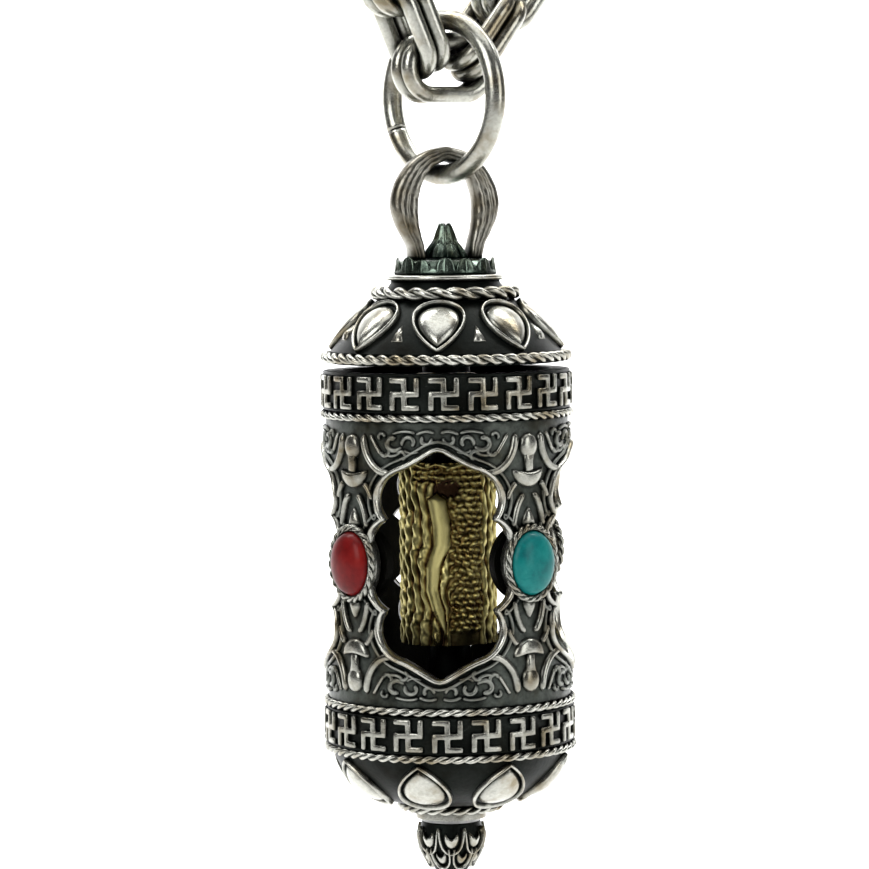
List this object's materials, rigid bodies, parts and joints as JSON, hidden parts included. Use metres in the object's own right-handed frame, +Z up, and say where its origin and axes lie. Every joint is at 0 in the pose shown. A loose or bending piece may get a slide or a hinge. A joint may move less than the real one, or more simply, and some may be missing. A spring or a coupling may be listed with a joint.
{
  "type": "prayer wheel",
  "caption": "Pendant prayer wheel: an openwork windowed barrel that spins on an axle under a petalled cap, hung by a bail and jump ring from a short run of doubled chain.",
  "frame": {"origin": "where the jump ring hangs on the chain, at the top of the middle link's upper wires, on the barrel's axis", "axes": "+Z up along the barrel's axis, the front window faces -Y, +X to the viewer's right"},
  "size_m": [0.0182, 0.0182, 0.0694],
  "materials": {
    "oxidised_silver": "oxidised white metal, near black in the hollows and polished on the high parts",
    "bright_silver": "worn white metal, lightly scratched",
    "dark_patina": "green-black patina with rubbed edges",
    "gilt_brass": "embossed gilding with brown shadows",
    "steel": "plain turned",
    "bush_brass": "plain turned",
    "paper": "rolled blank paper",
    "turquoise": "polished stone",
    "coral": "polished stone"
  },
  "bodies": {
    "chain": {"chain_link_middle": "bright_silver", "chain_link_left_inner": "bright_silver", "chain_link_left_outer": "bright_silver", "chain_link_right_inner": "bright_silver", "chain_link_right_outer": "bright_silver"},
    "jump_ring": {"jump_ring": "bright_silver"},
    "hanger": {"bail": "bright_silver", "crown_collar": "dark_patina", "crown_bud": "dark_patina", "cap_flange": "oxidised_silver", "cap_upper_rope": "oxidised_silver", "cap_dome": "oxidised_silver", "cap_petals": "oxidised_silver", "cap_petal_wires": "oxidised_silver", "cap_leaf_tips": "oxidised_silver", "cap_lower_rope": "oxidised_silver", "axle_rod": "steel", "axle_nut": "steel", "axle_stop": "steel", "lower_washer": "steel", "finial_bud": "oxidised_silver", "finial_petals": "oxidised_silver"},
    "barrel": {"barrel_shell": "oxidised_silver", "upper_fret_band": "oxidised_silver", "lower_fret_band": "oxidised_silver", "upper_band_rope": "oxidised_silver", "lower_band_rope_top": "oxidised_silver", "lower_band_rope_bottom": "oxidised_silver", "window_frames": "oxidised_silver", "window_frame_lips": "oxidised_silver", "cabochon_bezels": "oxidised_silver", "turquoise_cabochons": "turquoise", "coral_cabochons": "coral", "upper_ornaments": "oxidised_silver", "lower_ornaments": "oxidised_silver", "spandrel_scrolls": "oxidised_silver", "upper_plate": "steel", "upper_bush": "bush_brass", "floor_plate": "steel", "core_tube": "steel", "gilt_sleeve": "gilt_brass", "mantra_scroll": "paper", "sleeve_top_disc": "gilt_brass", "sleeve_bottom_disc": "gilt_brass", "base_dome": "oxidised_silver", "base_petals": "oxidised_silver", "base_petal_wires": "oxidised_silver", "base_rope": "oxidised_silver", "base_flange": "oxidised_silver", "lower_bush": "bush_brass"}
  },
  "joints": [
    {"name": "ring_swing", "type": "hinge", "parent": "chain", "child": "jump_ring", "pos_m": [0, 0, -0.0006], "axis": [0.8192, 0.5736, 0], "range_deg": [-13, 13]},
    {"name": "bail_swing", "type": "hinge", "parent": "jump_ring", "child": "hanger", "pos_m": [0, 0, -0.01005], "axis": [0.6639, -0.7478, 0], "range_deg": [-60, 60]},
    {"name": "barrel_spin", "type": "hinge", "parent": "hanger", "child": "barrel", "pos_m": [0, 0, -0.03715], "axis": [0, 0, 1], "continuous": true}
  ]
}
